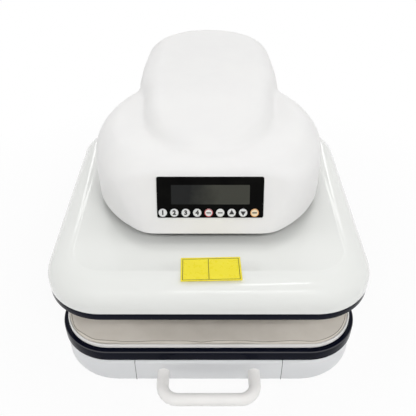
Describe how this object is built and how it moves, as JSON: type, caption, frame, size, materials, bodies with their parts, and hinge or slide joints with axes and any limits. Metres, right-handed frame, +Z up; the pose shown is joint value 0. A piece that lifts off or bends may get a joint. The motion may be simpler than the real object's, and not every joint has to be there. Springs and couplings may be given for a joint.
{
  "type": "flat heat press",
  "caption": "Automatic flat heat press with a round control head on a rear arm, a rounded square upper platen and a pull-out padded lower drawer.",
  "frame": {"origin": "on the ground, straight below the middle of the two platens and the ram's axis", "axes": "+X to the right as the operator faces the press, +Y from the operator to the rear column, +Z up"},
  "size_m": [0.44, 0.6339, 0.33],
  "materials": {
    "white_plastic": "satin moulded plastic",
    "white_gloss": "gloss moulded plastic",
    "white_paint": "satin powder coat",
    "navy_gloss": "gloss",
    "black_plastic": "fine grained",
    "zinc_sheet": "zinc plated sheet",
    "steel": "machined",
    "hard_chrome": "hard chromed and ground",
    "bronze": "turned bronze",
    "aluminium": "cast and milled",
    "rubber": "matt",
    "silicone": "matt sponge skin",
    "insulation": "pressed fibre board",
    "overlay_black": "printed film with a thin white border",
    "window_glass": "dark tinted lens",
    "circuit": "solder mask",
    "key_grey": "printed film",
    "key_white": "printed film",
    "key_orange": "printed film",
    "label_yellow": "blank adhesive label"
  },
  "bodies": {
    "frame": {"base_shell": "white_plastic", "base_plate": "zinc_sheet", "rubber_feet": "rubber", "base_screws": "steel", "base_frame": "zinc_sheet", "outer_slide_rails": "zinc_sheet", "c_frame": "steel", "frame_spacers": "steel", "pinion_bearings": "bronze", "column_cover": "white_plastic", "head_housing": "white_plastic", "head_underplate": "black_plastic", "underplate_spacers": "steel", "underplate_screws": "steel", "head_plate": "steel", "guide_bushes": "bronze", "gear_motor": "aluminium", "panel_overlay": "overlay_black", "display_window": "window_glass", "display_module": "black_plastic", "control_board": "circuit", "power_inlet": "black_plastic", "switch_frame": "black_plastic", "fuse_holder": "black_plastic", "power_board": "circuit", "solid_state_relay": "circuit"},
    "upper_platen": {"platen_cover": "white_gloss", "cover_trim": "navy_gloss", "heat_plate": "aluminium", "heating_element": "steel", "insulation_board": "insulation", "platen_carrier": "steel", "platen_standoffs": "steel", "guide_rods": "hard_chrome", "ram_rack": "steel", "thermostat": "black_plastic", "temperature_probe": "steel", "blank_label": "label_yellow"},
    "pinion": {"pinion_shaft": "steel"},
    "drawer": {"lower_tray": "navy_gloss", "lower_platen": "white_paint", "silicone_pad": "silicone", "drawer_front": "white_plastic", "drawer_handle": "white_paint", "handle_screws": "steel", "drawer_carriage": "zinc_sheet", "inner_slide_rails": "zinc_sheet"},
    "middle_rails": {"middle_slide_rails": "zinc_sheet"},
    "rocker": {"power_rocker": "black_plastic"},
    "key_1_cap": {"key_1": "key_grey"},
    "key_2_cap": {"key_2": "key_grey"},
    "key_3_cap": {"key_3": "key_grey"},
    "key_4_cap": {"key_4": "key_grey"},
    "key_power_cap": {"key_power": "key_white"},
    "key_mode_cap": {"key_mode": "key_grey"},
    "key_up_cap": {"key_up": "key_grey"},
    "key_down_cap": {"key_down": "key_grey"},
    "key_start_cap": {"key_start": "key_orange"}
  },
  "joints": [
    {"name": "press_stroke", "type": "slide", "parent": "frame", "child": "upper_platen", "axis": [0, 0, -1], "range_m": [0, 0.0587]},
    {"name": "pinion_turn", "type": "hinge", "parent": "frame", "child": "pinion", "pos_m": [0, 0.027, 0.242], "axis": [1, 0, 0], "range_deg": [0, 224.5]},
    {"name": "drawer_slide", "type": "slide", "parent": "frame", "child": "drawer", "axis": [0, -1, 0], "range_m": [0, 0.3]},
    {"name": "middle_rail_slide", "type": "slide", "parent": "frame", "child": "middle_rails", "axis": [0, -1, 0], "range_m": [0, 0.15]},
    {"name": "power_rocker_turn", "type": "hinge", "parent": "frame", "child": "rocker", "pos_m": [0, 0.362, 0.027], "axis": [1, 0, 0], "range_deg": [0, 20]},
    {"name": "key_1_press", "type": "slide", "parent": "frame", "child": "key_1_cap", "axis": [0, 0.9397, -0.342], "range_m": [0, 0.0008], "stiffness_N_per_m": 900, "springref_m": -0.0002},
    {"name": "key_2_press", "type": "slide", "parent": "frame", "child": "key_2_cap", "axis": [0, 0.9397, -0.342], "range_m": [0, 0.0008], "stiffness_N_per_m": 900, "springref_m": -0.0002},
    {"name": "key_3_press", "type": "slide", "parent": "frame", "child": "key_3_cap", "axis": [0, 0.9397, -0.342], "range_m": [0, 0.0008], "stiffness_N_per_m": 900, "springref_m": -0.0002},
    {"name": "key_4_press", "type": "slide", "parent": "frame", "child": "key_4_cap", "axis": [0, 0.9397, -0.342], "range_m": [0, 0.0008], "stiffness_N_per_m": 900, "springref_m": -0.0002},
    {"name": "key_power_press", "type": "slide", "parent": "frame", "child": "key_power_cap", "axis": [0, 0.9397, -0.342], "range_m": [0, 0.0008], "stiffness_N_per_m": 900, "springref_m": -0.0002},
    {"name": "key_mode_press", "type": "slide", "parent": "frame", "child": "key_mode_cap", "axis": [0, 0.9397, -0.342], "range_m": [0, 0.0008], "stiffness_N_per_m": 900, "springref_m": -0.0002},
    {"name": "key_up_press", "type": "slide", "parent": "frame", "child": "key_up_cap", "axis": [0, 0.9397, -0.342], "range_m": [0, 0.0008], "stiffness_N_per_m": 900, "springref_m": -0.0002},
    {"name": "key_down_press", "type": "slide", "parent": "frame", "child": "key_down_cap", "axis": [0, 0.9397, -0.342], "range_m": [0, 0.0008], "stiffness_N_per_m": 900, "springref_m": -0.0002},
    {"name": "key_start_press", "type": "slide", "parent": "frame", "child": "key_start_cap", "axis": [0, 0.9397, -0.342], "range_m": [0, 0.0008], "stiffness_N_per_m": 900, "springref_m": -0.0002}
  ],
  "couplings": [
    {"joint": "pinion_turn", "follows": "press_stroke", "rad_per_m": 66.667},
    {"joint": "middle_rail_slide", "follows": "drawer_slide", "ratio": 0.5}
  ]
}
